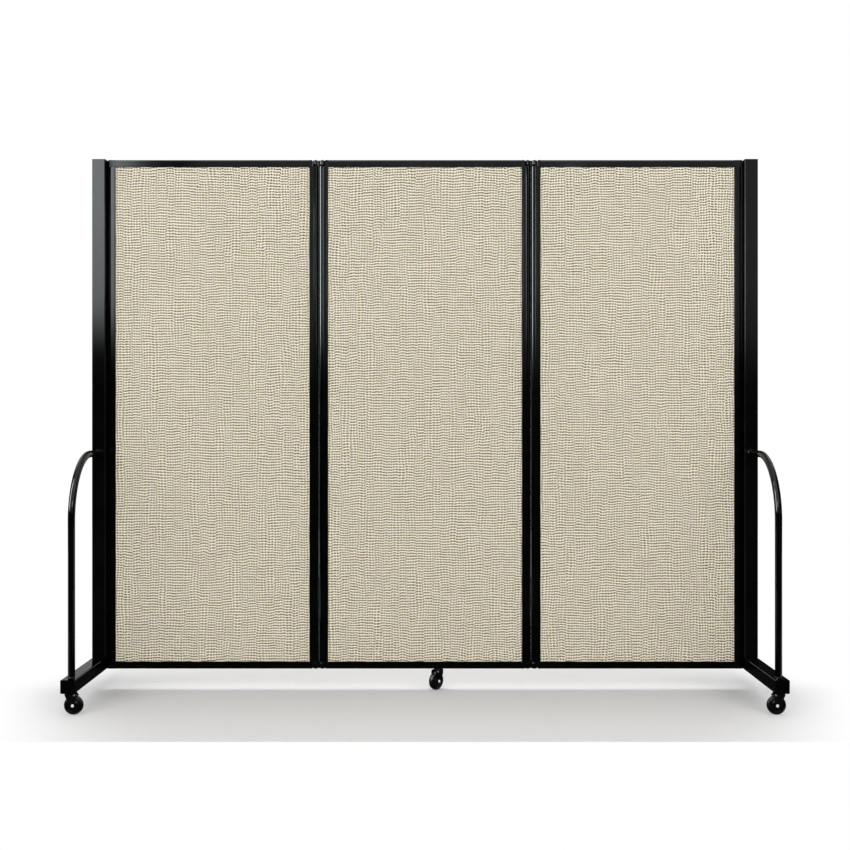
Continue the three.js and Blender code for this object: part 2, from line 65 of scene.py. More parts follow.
# Sizes shared with the CAD source: castors. The brake pin's place is from the swivel axis, on the floor
CASTOR_HEIGHT = 0.060
CASTOR_Y = 0.297
WHEEL_RADIUS = 0.025
WHEEL_TRAIL = 0.0083
FORK_OUTER = 0.0115
BRAKE_PIN = Vector((0.0121, 0.0, 0.0526))
MIDDLE_CASTOR_X = 0.0375
MIDDLE_CASTOR_TURN = -132.0

# node helpers


class Look:
    """A material under construction, with short calls for the nodes that it needs."""

    def __init__(self, name):
        self.material = bpy.data.materials.new(name)
        self.material.use_nodes = True
        self.tree = self.material.node_tree
        self.shader = self.tree.nodes["Principled BSDF"]

    def feed(self, node, socket, value):
        """Links another node's socket to this one, or sets it to a number or colour."""
        target = node.inputs[socket]
        if isinstance(value, bpy.types.NodeSocket):
            self.tree.links.new(value, target)
        else:
            target.default_value = value

    def add(self, kind, settings=None, **inputs):
        node = self.tree.nodes.new(kind)
        for key, value in (settings or {}).items():
            setattr(node, key, value)
        for key, value in inputs.items():
            self.feed(node, key.replace("_", " "), value)
        return node

    def set(self, **sockets):
        """Feeds the shader's own sockets."""
        for key, value in sockets.items():
            self.feed(self.shader, key.replace("_", " "), value)

    def glow(self, level, colour=(1.0, 1.0, 1.0)):
        return self.add("ShaderNodeEmission", Color=(*colour, 1.0), Strength=level)

    def show(self, surface):
        """Makes another node the material's surface, in the shader's place."""
        self.tree.links.new(surface.outputs[0], self.tree.nodes["Material Output"].inputs["Surface"])

    def math(self, operation, *values):
        node = self.tree.nodes.new("ShaderNodeMath")
        node.operation = operation
        for index, value in enumerate(values):
            self.feed(node, index, value)
        return node.outputs[0]

    def chain(self, operation, values):
        result = values[0]
        for value in values[1:]:
            result = self.math(operation, result, value)
        return result

    def total(self, *values):
        return self.chain("ADD", values)

    def product(self, *values):
        return self.chain("MULTIPLY", values)

    def place(self):
        """The X, Y and Z of a point on the object."""
        source = self.add("ShaderNodeTexCoord")
        return self.add("ShaderNodeSeparateXYZ", Vector=source.outputs["Object"]).outputs

    def coordinates(self, scale=(1, 1, 1)):
        source = self.add("ShaderNodeTexCoord")
        return self.add("ShaderNodeMapping", Vector=source.outputs["Object"], Scale=scale).outputs["Vector"]

    def noise(self, vector, scale=1.0, detail=2.0, roughness=0.5):
        node = self.add("ShaderNodeTexNoise", Vector=vector, Scale=scale, Detail=detail, Roughness=roughness)
        return node.outputs["Fac"]

    def ramp(self, value, over=(0.0, 1.0), to=(0.0, 1.0)):
        """Maps value from the range over to the range to, smoothly and without passing its ends."""
        node = self.add("ShaderNodeMapRange", {"interpolation_type": "SMOOTHSTEP"}, Value=value)
        for socket, number in zip(("From Min", "From Max", "To Min", "To Max"), (*over, *to)):
            node.inputs[socket].default_value = number
        return node.outputs["Result"]

    def mix(self, share, first, second):
        """One colour turning into another. The node has its colours at sockets 6 and 7."""
        node = self.add("ShaderNodeMix", {"data_type": "RGBA"})
        for socket, value in ((0, share), (6, first), (7, second)):
            self.feed(node, socket, (*value, 1.0) if isinstance(value, tuple) else value)
        return node.outputs[2]

    def bump(self, height, distance, strength=1.0, normal=None):
        node = self.add("ShaderNodeBump", Strength=strength, Distance=distance, Height=height)
        if normal is not None:
            self.tree.links.new(normal, node.inputs["Normal"])
        return node.outputs["Normal"]

    def edges(self, radius):
        """1 on convex and concave edges and 0 on open faces."""
        rounded = self.add("ShaderNodeBevel", {"samples": 4}, Radius=radius)
        plain = self.add("ShaderNodeNewGeometry")
        dot = self.add("ShaderNodeVectorMath", {"operation": "DOT_PRODUCT"})
        self.tree.links.new(rounded.outputs[0], dot.inputs[0])
        self.tree.links.new(plain.outputs["True Normal"], dot.inputs[1])
        return self.ramp(self.math("SUBTRACT", 1.0, dot.outputs["Value"]), over=(0.02, 0.25))


# materials


def coat_look(name, tone, roughness, peel, streaks=None, gloss=0.5):
    """Black coat on metal: faint orange peel, dust in the gloss and paler, duller edges."""
    look = Look(name)
    plain = look.coordinates()
    cloud = look.noise(plain, scale=9.0, detail=4.0, roughness=0.6)
    dust = look.noise(plain, scale=900.0, detail=3.0, roughness=0.7)
    wear = look.edges(0.0007)
    pale = tuple(c * 1.5 + 0.0006 for c in tone)
    colour = look.mix(look.ramp(cloud, over=(0.35, 0.7)), tone, pale)
    colour = look.mix(look.product(wear, 0.5), colour, (0.012, 0.012, 0.0125))
    rough = look.total(
        look.ramp(cloud, over=(0.3, 0.75), to=(roughness, roughness * 1.35)),
        look.ramp(dust, over=(0.62, 0.8), to=(0.0, 0.06)),
        look.product(wear, 0.08),
    )
    normal = look.bump(look.noise(plain, scale=240.0), peel)
    if streaks:
        lines = look.noise(look.coordinates(streaks), detail=3.0, roughness=0.6)
        normal = look.bump(lines, peel * 0.6, normal=normal)
    look.set(Base_Color=colour, Roughness=rough, Normal=normal, Specular_IOR_Level=gloss)
    return look.material


def plastic_look(name, tone, roughness, gloss=0.5):
    """Moulded black plastic: fine grain, slight flow marks and paler edges."""
    look = Look(name)
    plain = look.coordinates()
    grain = look.noise(plain, scale=2600.0, roughness=0.6)
    flow = look.noise(plain, scale=60.0, detail=3.0)
    wear = look.edges(0.0006)
    pale = tuple(c * 1.6 + 0.0008 for c in tone)
    colour = look.mix(look.ramp(flow, over=(0.3, 0.75)), tone, pale)
    colour = look.mix(look.product(wear, 0.45), colour, (0.014, 0.014, 0.014))
    rough = look.total(
        look.ramp(flow, over=(0.3, 0.7), to=(roughness, roughness * 1.3)),
        look.ramp(grain, to=(-0.03, 0.05)),
    )
    look.set(Base_Color=colour, Roughness=rough, Normal=look.bump(grain, 0.00001), Specular_IOR_Level=gloss)
    return look.material


def rubber_look(name):
    """Tyre rubber: black and fairly smooth, greyer and duller where it is scuffed."""
    look = Look(name)
    plain = look.coordinates()
    scuff = look.noise(plain, scale=220.0, detail=5.0, roughness=0.65)
    speck = look.noise(plain, scale=1800.0, roughness=0.6)
    colour = look.mix(look.ramp(scuff, over=(0.45, 0.8)), (0.0025, 0.0025, 0.0025), (0.009, 0.009, 0.0088))
    rough = look.ramp(scuff, over=(0.3, 0.7), to=(0.22, 0.40))
    look.set(Base_Color=colour, Roughness=rough, Normal=look.bump(speck, 0.00003))
    return look.material


def bright_look(name, bright, dull):
    """Plated steel with fine turning marks and a little haze."""
    look = Look(name)
    plain = look.coordinates()
    haze = look.noise(plain, scale=500.0, detail=4.0, roughness=0.6)
    marks = look.noise(plain, scale=3500.0, roughness=0.6)
    colour = look.mix(look.ramp(haze, over=(0.35, 0.75)), bright, dull)
    rough = look.ramp(haze, over=(0.3, 0.7), to=(0.24, 0.40))
    look.set(Base_Color=colour, Roughness=rough, Metallic=0.15, Normal=look.bump(marks, 0.00001))
    return look.material


def core_look():
    """Pale fibre board, flecked."""
    look = Look("board_core")
    fleck = look.noise(look.coordinates(), scale=700.0, detail=4.0, roughness=0.7)
    colour = look.mix(look.ramp(fleck, over=(0.35, 0.7)), (0.42, 0.36, 0.26), (0.60, 0.54, 0.42))
    look.set(Base_Color=colour, Roughness=0.85, Normal=look.bump(fleck, 0.0002))
    return look.material


# The cloth's weave. Pitches and widths are in metres. Each scale is of a noise, across and up, per metre.
# A wander is the range over which a noise shifts bands, rows or columns, counted in their own pitch.
# A share is how much something adds to the depth between the yarns, which the shade range turns into painted
# shade, standing in for the shade that falls between the yarns.
ROW_PITCH = 0.00763
ROW_WANDER = 0.9
ROW_WANDER_SCALE = (70.0, 6.0)
ROW_SHARE = 1.05
ROW_RANGE = (-0.5, 0.7)
BAND_WIDTH = 0.024
BAND_WANDER = 1.6
BAND_WANDER_SCALE = (25.0, 12.0)
BAND_STEP = 4.0
BAND_STEP_SCALE = 4.5
BAND_APART = 3.7
BAND_SLANT = 0.22
COLUMN_PITCH = 0.0079
COLUMN_WANDER = 2.6
COLUMN_WANDER_SCALE = (18.0, 6.0)
COLUMN_SHARE = 0.30
COLUMN_ROW_SHARE = 0.55
FINE_PITCH = 0.0072
FINE_WANDER = 1.6
FINE_WANDER_SCALE = (60.0, 60.0)
FINE_SEED = 5.0
FINE_SHARE = 0.40
CELL_SHARE = 0.75
PATCH_SCALE = (60.0, 100.0)
PATCH_SHARE = 0.05
SLUB_SCALE = (400.0, 400.0)
SLUB_SHARE = 1.2
FIBRE_SCALE = (450.0, 2600.0)
FIBRE_SHARE = 1.0
FIBRE_RELIEF = 0.25
WEAVE_RELIEF = 0.0005
SHADE_RANGE = (-0.84, 1.38)
TINT_SCALE = (45.0, 60.0)
TINT_RANGE = (-0.16, 0.16)
YARN_PINK = (0.938, 0.844, 0.736)
YARN_YELLOW = (0.898, 0.855, 0.651)
# The gap colours are painted shade: they darken the yarn where shade falls between the yarns.
GAP_SHADE_PINK = (0.110, 0.074, 0.028)
GAP_SHADE_YELLOW = (0.096, 0.078, 0.022)


def cloth_look(name):
    """Ribbed weave: level rows of dark dots of painted shade under pale yarn, which step up and down from
    band to band.
    """
    look = Look(name)
    at = look.place()
    across, up = at["X"], at["Z"]

    def about_zero(scale, detail=1.0, roughness=0.5):
        noise = look.noise(look.coordinates((scale[0], 1.0, scale[1])), detail=detail, roughness=roughness)
        return look.math("SUBTRACT", noise, 0.5)

    def random(*numbers):
        place = look.add("ShaderNodeCombineXYZ", **dict(zip("XYZ", numbers)))
        return look.add("ShaderNodeTexWhiteNoise", Vector=place.outputs[0]).outputs["Value"]

    def nearest(value):
        return look.math("FLOOR", look.total(value, 0.5))

    def wave(turns):
        return look.math("COSINE", look.product(turns, math.tau))

    def band_level(number):
        """How far a band's rows are stepped, from a noise in which neighbours lie BAND_APART apart."""
        aside, above = look.product(number, BAND_APART), look.product(up, BAND_STEP_SCALE)
        place = look.add("ShaderNodeCombineXYZ", X=aside, Z=above)
        return look.math("SUBTRACT", look.noise(place.outputs[0], detail=1.0), 0.5)

    # Ragged upright bands, each with its rows at another level, joined by a short slant
    ragged = look.total(
        look.math("DIVIDE", across, BAND_WIDTH), look.product(about_zero(BAND_WANDER_SCALE), BAND_WANDER)
    )
    band = look.math("FLOOR", ragged)
    here = band_level(band)
    beyond = band_level(look.total(band, 1.0))
    slant = look.ramp(look.math("SUBTRACT", ragged, band), over=(1.0 - BAND_SLANT, 1.0))
    level = look.total(here, look.product(look.math("SUBTRACT", beyond, here), slant))

    # Rows, columns and finer columns that start anew in each row, counted in pitches
    row = look.total(
        look.math("DIVIDE", up, ROW_PITCH),
        look.product(level, BAND_STEP),
        look.product(about_zero(ROW_WANDER_SCALE), ROW_WANDER),
    )
    column = look.total(
        look.math("DIVIDE", across, COLUMN_PITCH),
        look.product(about_zero(COLUMN_WANDER_SCALE), COLUMN_WANDER),
    )
    fine = look.total(
        look.math("DIVIDE", across, FINE_PITCH),
        random(nearest(row), FINE_SEED),
        look.product(about_zero(FINE_WANDER_SCALE), FINE_WANDER),
    )

    # How far each point lies down between the yarns
    row_wave = wave(row)
    on_row = look.ramp(row_wave, over=ROW_RANGE)
    cell = look.math("SUBTRACT", random(nearest(row), nearest(column)), 0.5)
    column_part = look.total(look.product(on_row, COLUMN_ROW_SHARE), COLUMN_SHARE)
    fibre = about_zero(FIBRE_SCALE, detail=2.0, roughness=0.6)
    depth = look.total(
        look.product(row_wave, ROW_SHARE),
        look.product(cell, CELL_SHARE, on_row),
        look.product(wave(fine), FINE_SHARE),
        look.product(wave(column), column_part),
        look.product(about_zero(PATCH_SCALE), PATCH_SHARE),
        look.product(about_zero(SLUB_SCALE, roughness=0.6), SLUB_SHARE),
        look.product(fibre, FIBRE_SHARE),
    )
    # Painted shade: the deeper a point lies between the yarns, the darker its colour, in place of the shade
    # that falls there.
    painted_shade = look.ramp(depth, over=SHADE_RANGE)

    tint = look.ramp(about_zero(TINT_SCALE, detail=3.0, roughness=0.6), over=TINT_RANGE)
    yarn = look.mix(tint, YARN_PINK, YARN_YELLOW)
    colour = look.mix(painted_shade, yarn, look.mix(tint, GAP_SHADE_PINK, GAP_SHADE_YELLOW))
    height = look.math("SUBTRACT", look.product(fibre, FIBRE_RELIEF), painted_shade)
    look.set(Base_Color=colour, Roughness=0.9, Normal=look.bump(height, WEAVE_RELIEF, strength=0.6))
    look.set(Sheen_Weight=0.12, Sheen_Roughness=0.5, Specular_IOR_Level=0.2)
    return look.material


COAT = (0.0011, 0.0011, 0.0012)
STREAKS_UP = (900.0, 900.0, 3.0)
STREAKS_ACROSS = (3.0, 900.0, 900.0)
BLACK_STEEL = coat_look("gloss_black_steel", COAT, roughness=0.06, peel=0.000012)
BLACK_TUBE = coat_look("gloss_black_tube", COAT, roughness=0.03, peel=0.000003, gloss=0.36)
BLACK_UPRIGHT = coat_look("gloss_black_upright", COAT, roughness=0.07, peel=0.000004, streaks=STREAKS_UP)
BLACK_RAIL = coat_look("gloss_black_rail", COAT, roughness=0.08, peel=0.000004, streaks=STREAKS_ACROSS)
BLACK_CORNER = plastic_look("moulded_corner", (0.0016, 0.0016, 0.0017), roughness=0.10)
BLACK_LINK = coat_look("cast_link", (0.0014, 0.0014, 0.0015), roughness=0.06, peel=0.000006)
BLACK_CASTOR = plastic_look("castor_black", (0.0022, 0.0022, 0.0023), roughness=0.06, gloss=1.0)
TYRE = rubber_look("tyre_rubber")
BRIGHT = bright_look("plated_axle", bright=(0.97, 0.97, 0.97), dull=(0.88, 0.88, 0.89))
GREY_RIVET = bright_look("plated_rivet", bright=(0.30, 0.30, 0.31), dull=(0.20, 0.20, 0.21))
CLOTH = cloth_look("woven_cloth")
CORE = core_look()


# mesh helpers

SMOOTH_BELOW = math.radians(38.0)
BEVEL_ABOVE = math.radians(50.0)


def to_mesh(name, bm):
    """The mesh of a bmesh, which is freed, smooth but for its sharp edges."""
    bmesh.ops.recalc_face_normals(bm, faces=bm.faces)
    mesh = bpy.data.meshes.new(name)
    bm.to_mesh(mesh)
    bm.free()
    mesh.shade_smooth()
    mesh.set_sharp_from_angle(angle=SMOOTH_BELOW)
    return mesh


def move_into(bm, own):
    """Adds one bmesh to another, and frees it."""
    copy = bpy.data.meshes.new("part")
    own.to_mesh(copy)
    own.free()
    bm.from_mesh(copy)
    bpy.data.meshes.remove(copy)


def piece(name, mesh, body, material, replaced, place=None):
    """A finished mesh as a named piece that rides on a body, with its material, in place of the CAD nodes
    that it hides.
    """
    if place is not None:
        mesh.transform(place)
    obj = bpy.data.objects.new(name, mesh)
    bpy.context.scene.collection.objects.link(obj)
    mesh.materials.append(material)
    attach(obj, body)
    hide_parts(*replaced)
    return obj


def join_rings(bm, rings):
    """Faces between each ring of points and the next."""
    count = len(rings[0])
    for low, high in zip(rings, rings[1:]):
        for i in range(count):
            j = (i + 1) % count
            bm.faces.new((low[i], low[j], high[j], high[i]))


def add_rings(bm, rings):
    """Skins equal rings of points, and caps both ends."""
    made = [[bm.verts.new(p) for p in ring] for ring in rings]
    join_rings(bm, made)
    bm.faces.new(list(reversed(made[0])))
    bm.faces.new(made[-1])


def round_ring(centre, radius, height, axis, steps):
    """Points round an axis, Y or Z, through centre, at a height along it."""
    points = []
    for i in range(steps):
        a = math.tau * i / steps
        c, s = radius * math.cos(a), radius * math.sin(a)
        points.append(centre + Vector((c, s, height) if axis == "Z" else (c, height, s)))
    return points


def add_lathe(bm, profile, axis, centre, steps):
    """A round solid from (radius, height) pairs, capped at both ends by tiny discs."""
    centre = Vector(centre)
    add_rings(bm, [round_ring(centre, radius, height, axis, steps) for radius, height in profile])


def add_loop_lathe(bm, profile, centre, steps):
    """A round solid with a bore about the Y axis, from a closed loop of (radius, height) pairs."""
    centre = Vector(centre)
    made = []
    for radius, height in profile:
        made.append([bm.verts.new(p) for p in round_ring(centre, radius, height, "Y", steps)])
    join_rings(bm, made + made[:1])


def reflected(half):
    """The other half of a profile of (radius, height) pairs."""
    return [(radius, -height) for radius, height in reversed(half)]


def arc(x, y, radius, start, end, steps):
    """Points on an arc, with its angles in degrees."""
    points = []
    for i in range(steps + 1):
        a = math.radians(start + (end - start) * i / steps)
        points.append((x + radius * math.cos(a), y + radius * math.sin(a)))
    return points


def bezier(p0, p1, p2, steps):
    """Points on the curve from p0 to p2 that p1 draws towards itself, without p0."""
    points = []
    for i in range(1, steps + 1):
        t = i / steps
        near, pull, far = (1 - t) ** 2, 2 * t * (1 - t), t * t
        points.append(tuple(near * a + pull * b + far * c for a, b, c in zip(p0, p1, p2)))
    return points


def add_prism(bm, outline, low, high, bevel, axis="Y", segments=2):
    """An outline extruded from low to high along an axis, with bevelled rims."""

    def at(p, t):
        return Vector((p[0], t, p[1])) if axis == "Y" else Vector((p[0], p[1], t))

    own = bmesh.new()
    bottom = [own.verts.new(at(p, low)) for p in outline]
    top = [own.verts.new(at(p, high)) for p in outline]
    count = len(outline)
    own.faces.new(bottom)
    own.faces.new(list(reversed(top)))
    for i in range(count):
        j = (i + 1) % count
        own.faces.new((bottom[i], top[i], top[j], bottom[j]))
    bmesh.ops.recalc_face_normals(own, faces=own.faces)
    if bevel:
        sharp = [e for e in own.edges if e.calc_face_angle(0.0) > BEVEL_ABOVE]
        bmesh.ops.bevel(
            own, geom=sharp, offset=bevel, segments=segments, profile=0.5, affect="EDGES", clamp_overlap=True
        )
    move_into(bm, own)


# CAD nodes that stay

WELD_DISTANCE = 0.00001
SPLIT_ABOVE = math.radians(50.0)
NODE_LOOKS = (("_stile_", BLACK_UPRIGHT), ("_rail_", BLACK_RAIL), ("_corner_", BLACK_CORNER))


def dress_nodes():
    """Gives the kept CAD nodes their materials, and smooths the rounded ones."""
    for name, node in nodes.items():
        if node.hide_render:
            continue
        material = next((look for word, look in NODE_LOOKS if word in name), BLACK_STEEL)
        node.data.materials.clear()
        node.data.materials.append(material)
        weld = node.modifiers.new("weld", "WELD")
        weld.merge_threshold = WELD_DISTANCE
        for polygon in node.data.polygons:
            polygon.use_smooth = True
        split = node.modifiers.new("split", "EDGE_SPLIT")
        split.split_angle = SPLIT_ABOVE
        even = node.modifiers.new("even", "WEIGHTED_NORMAL")
        even.weight = 100


# fabric

# The cloth eases down by its dip near the frame, and rolls down by its drop at its very edge.
CLOTH_THICKNESS = 0.0006
CLOTH_EASE = 0.012
CLOTH_DIP = 0.0002
CLOTH_ROLL = 0.002
CLOTH_DROP = 0.0010
CLOTH_EDGE_STATIONS = (0.0, 0.0006, 0.0016, 0.003, 0.006, 0.009, 0.013, 0.020)
CLOTH_CELLS_ACROSS = 10
CLOTH_CELLS_UP = 22
CORE_GAP = 0.0004
CORE_SETBACK = 0.0022
CORE_BEVEL = 0.0012


def slot_extent(gap=0.0):
    """Half the width, and the low and high edge, of what reaches into a panel's slots but for a gap."""
    half_x = PANEL_PITCH / 2 - STILE_REACH + BOARD_TUCK - gap
    low = CASTOR_HEIGHT + RAIL_HEIGHT - BOARD_TUCK + gap
    high = PANEL_TOP - RAIL_HEIGHT + BOARD_TUCK - gap
    return half_x, low, high


def cloth_stations(half, count):
    """Places of grid lines across a cloth: close at its edges, and count cells on each side inside them."""
    inner = [half - d for d in CLOTH_EDGE_STATIONS]
    rest = [inner[-1] * (1 - i / count) for i in range(1, count)]
    positive = sorted(inner + rest)
    return [-v for v in reversed(positive)] + [0.0] + positive


def cloth_mesh(name, centre, side):
    """One face of a panel's cloth: flat on the board, easing down at the frame and tucked round the edge."""
    half_x, low, high = slot_extent()
    middle = (low + high) / 2
    half_z = (high - low) / 2

    def depth(x, z):
        edge = min(half_x - abs(x), half_z - abs(z))
        share = min(1.0, max(0.0, edge / CLOTH_EASE))
        rounded = math.sqrt(max(0.0, 1 - (1 - min(1.0, edge / CLOTH_ROLL)) ** 2))
        return BOARD_HALF - CLOTH_DIP * (1 - share) ** 2 - CLOTH_DROP * (1 - rounded)

    xs = cloth_stations(half_x, CLOTH_CELLS_ACROSS)
    zs = cloth_stations(half_z, CLOTH_CELLS_UP)
    bm = bmesh.new()
    grids = []
    for inset in (0.0, CLOTH_THICKNESS):
        grid = []
        for z in zs:
            grid.append([bm.verts.new((centre + x, side * (depth(x, z) - inset), middle + z)) for x in xs])
        grids.append(grid)
    for grid in grids:
        for low_row, high_row in zip(grid, grid[1:]):
            for i in range(len(xs) - 1):
                bm.faces.new((low_row[i], low_row[i + 1], high_row[i + 1], high_row[i]))
    outer, inner = (
        grid[0][:-1] + [row[-1] for row in grid[:-1]] + grid[-1][:0:-1] + [row[0] for row in grid[:0:-1]]
        for grid in grids
    )
    for i in range(len(outer)):
        j = (i + 1) % len(outer)
        bm.faces.new((outer[i], outer[j], inner[j], inner[i]))
    return to_mesh(name, bm), (2 * half_x, 2 * half_z)


def core_mesh(name, centre):
    """The light board between the two cloths, with eased edges."""
    half_x, low, high = slot_extent(CORE_GAP)
    half_y = BOARD_HALF - CORE_SETBACK
    left, right = centre - half_x, centre + half_x
    outline = [(left, low), (right, low), (right, high), (left, high)]
    bm = bmesh.new()
    add_prism(bm, outline, -half_y, half_y, CORE_BEVEL)
    return to_mesh(name, bm)


def add_fabric():
    for panel, centre in PANEL_CENTRES.items():
        node = f"{panel}_fabric"
        piece(f"{panel}_board", core_mesh("board", centre), panel, CORE, [node])
        for face, side in (("front", -1), ("rear", 1)):
            mesh, flat = cloth_mesh("cloth", centre, side)
            cloth = piece(f"{panel}_cloth_{face}", mesh, panel, CLOTH, [node])


# handles

TUBE_SIDES = 40
REACH_STEPS = 6
BEND_STEPS = 48
LEG_STEPS = 16

# A weld's profile is in pairs of distance beyond the tube's radius and height above the face.
WELD_HEIGHT = 0.0015
WELD_PROFILE = (
    (-0.0004, 0.0),
    (0.0011, 0.0),
    (0.0010, 0.0003),
    (0.0005, 0.0007),
    (0.0002, 0.0012),
    (-0.0004, WELD_HEIGHT),
)
WELD_SIDES = 84
WELD_RIPPLES = 28
WELD_RIPPLE = 0.0001


def handle_path():
    """Points (distance from the middle, height) and directions along a handle, from the post to the foot."""
    start = POST_FACE + SEAT_GAP
    straight = HANDLE_Y - HANDLE_BEND
    low = HANDLE_HEIGHT - HANDLE_BEND
    path = [(start + (straight - start) * i / REACH_STEPS, HANDLE_HEIGHT, 0.0) for i in range(REACH_STEPS)]
    for i in range(BEND_STEPS + 1):
        a = math.pi / 2 * i / BEND_STEPS
        reach = straight + HANDLE_BEND * math.sin(a)
        path.append((reach, HANDLE_HEIGHT - HANDLE_BEND * (1 - math.cos(a)), a))
    for i in range(1, LEG_STEPS + 1):
        path.append((HANDLE_Y, low - (low - FOOT_TOP - SEAT_GAP) * i / LEG_STEPS, math.pi / 2))
    return path


def outwards(side, turn):
    """The direction away from a bend's centre, where the handle has turned so far towards the foot."""
    return Vector((0, side * math.sin(turn), math.cos(turn)))


def around(out, angle):
    """A unit step out of a handle's tube at an angle round it, from X towards out."""
    return Vector((math.cos(angle), 0, 0)) + out * math.sin(angle)


def add_weld(bm, at, out, along):
    """A rippled fillet round the tube's end, on the face that it meets."""
    rings = []
    for beyond, height in WELD_PROFILE:
        ring = []
        for i in range(WELD_SIDES):
            a = math.tau * i / WELD_SIDES
            ripple = WELD_RIPPLE * math.sin(WELD_RIPPLES * a) if 0 < height < WELD_HEIGHT else 0
            offset = around(out, a) * (HANDLE_RADIUS + beyond + ripple)
            ring.append(at + offset + along * (height - SEAT_GAP / 2))
        rings.append(ring)
    add_rings(bm, rings)


def handle_mesh(name, x, side):
    """A bent tube and, at each end, the low fillet of weld that holds it."""
    path = handle_path()
    rings = []
    for reach, height, turn in path:
        at = Vector((x, side * reach, height))
        out = outwards(side, turn)
        rings.append([at + around(out, math.tau * i / TUBE_SIDES) * HANDLE_RADIUS for i in range(TUBE_SIDES)])
    bm = bmesh.new()
    add_rings(bm, rings)
    for (reach, height, turn), along in ((path[0], Vector((0, side, 0))), (path[-1], Vector((0, 0, 1)))):
        add_weld(bm, Vector((x, side * reach, height)), outwards(side, turn), along)
    return to_mesh(name, bm)


def add_handles():
    for end_frame, x in (("left", -POST_CENTRE), ("right", POST_CENTRE)):
        for end, side in (("front", -1), ("rear", 1)):
            name = f"{end_frame}_handle_{end}"
            mesh = handle_mesh("handle", x, side)
            piece(f"{name}_tube", mesh, f"{end_frame}_panel", BLACK_TUBE, [name])


# hinge links

# A knuckle's rim is in pairs of distance inside its radius and height below its top.
LINK_TIP = 0.0003
PIN_RADIUS = 0.0030
PIN_REACH = 0.020
PIN_CHAMFER = 0.0005
KNUCKLE_RADIUS = 0.0080
KNUCKLE_FOOT_CHAMFER = (0.0002, 0.0003)
KNUCKLE_RIM = ((0.0, 0.0010), (0.0001, 0.0006), (0.0004, 0.0002), (0.0009, 0.0))
KNUCKLE_SIDES = 48
HEAD_RADIUS = 0.0038
HEAD_EDGE = 0.0004
HEAD_DOME = 0.0018
HEAD_ANGLES = (15, 30, 45, 60, 75)
WAIST_RADIUS = 0.0062
WAIST_CHAMFER = 0.0002
WAIST_DROP = 0.0010
WAIST_SIDES = 40


def knuckle_profile(foot):
    """A pin below the knuckle, the knuckle with its eased rim, and the pin's domed head on it."""
    pin_end = foot - PIN_REACH
    chamfer_in, chamfer_up = KNUCKLE_FOOT_CHAMFER
    profile = [(LINK_TIP, pin_end), (PIN_RADIUS - PIN_CHAMFER, pin_end)]
    profile += [(PIN_RADIUS, pin_end + PIN_CHAMFER), (PIN_RADIUS, foot)]
    profile += [(KNUCKLE_RADIUS - chamfer_in, foot), (KNUCKLE_RADIUS, foot + chamfer_up)]
    profile += [(KNUCKLE_RADIUS - inside, -below) for inside, below in KNUCKLE_RIM]
    profile += [(HEAD_RADIUS, 0.0), (HEAD_RADIUS, HEAD_EDGE)]
    for degrees in HEAD_ANGLES:
        a = math.radians(degrees)
        profile.append((HEAD_RADIUS * math.cos(a), HEAD_EDGE + HEAD_DOME * math.sin(a)))
    return profile + [(LINK_TIP, HEAD_EDGE + HEAD_DOME)]


def waist_profile(foot):
    """The plain round waist between the knuckles, a little lower than they are."""
    profile = [(LINK_TIP, foot), (WAIST_RADIUS - WAIST_CHAMFER, foot), (WAIST_RADIUS, foot + WAIST_CHAMFER)]
    profile += [(WAIST_RADIUS, -WAIST_DROP - WAIST_CHAMFER), (WAIST_RADIUS - WAIST_CHAMFER, -WAIST_DROP)]
    return profile + [(LINK_TIP, -WAIST_DROP)]


def link_mesh(name, x, level):
    """Two round knuckles with domed pin heads and the waist between them."""
    foot = SEAT_GAP - POCKET_DEPTH
    bm = bmesh.new()
    for offset in (-PIVOT_OFFSET, PIVOT_OFFSET):
        add_lathe(bm, knuckle_profile(foot), "Z", (offset, 0, 0), KNUCKLE_SIDES)
    add_lathe(bm, waist_profile(foot), "Z", (0, 0, 0), WAIST_SIDES)
    mesh = to_mesh(name, bm)
    mesh.transform(Matrix.Rotation(math.pi if level == "bottom" else 0.0, 4, "X"))
    mesh.transform(Matrix.Translation((x, 0, PANEL_TOP if level == "top" else CASTOR_HEIGHT)))
    return mesh


def add_links():
    for side, x in (("left", -PANEL_PITCH / 2), ("right", PANEL_PITCH / 2)):
        for level in ("top", "bottom"):
            node = f"{side}_hinge_link_{level}"
            piece(f"{node}_cast", link_mesh("link", x, level), f"{side}_hinge", BLACK_LINK, [node])


# castors, each made with its swivel axis on Z and the floor at 0

# Fork: side plates seen from the side, and the crown over the wheel seen from above
FORK_LEAD = 0.0146
FORK_TAIL = 0.0163
FORK_TOP = 0.0565
FORK_BOSS = 0.008
FORK_LEAD_CORNER = 0.001
FORK_TAIL_CORNER = 0.004
FORK_SWEEP_END = 0.004
PLATE_THICKNESS = 0.0025
PLATE_BEVEL = 0.0007
CROWN_RADIUS = 0.007
CROWN_TAIL = 0.0085
CROWN_LOW = 0.0515
CROWN_PROUD = 0.00005
CROWN_BEVEL = 0.0008

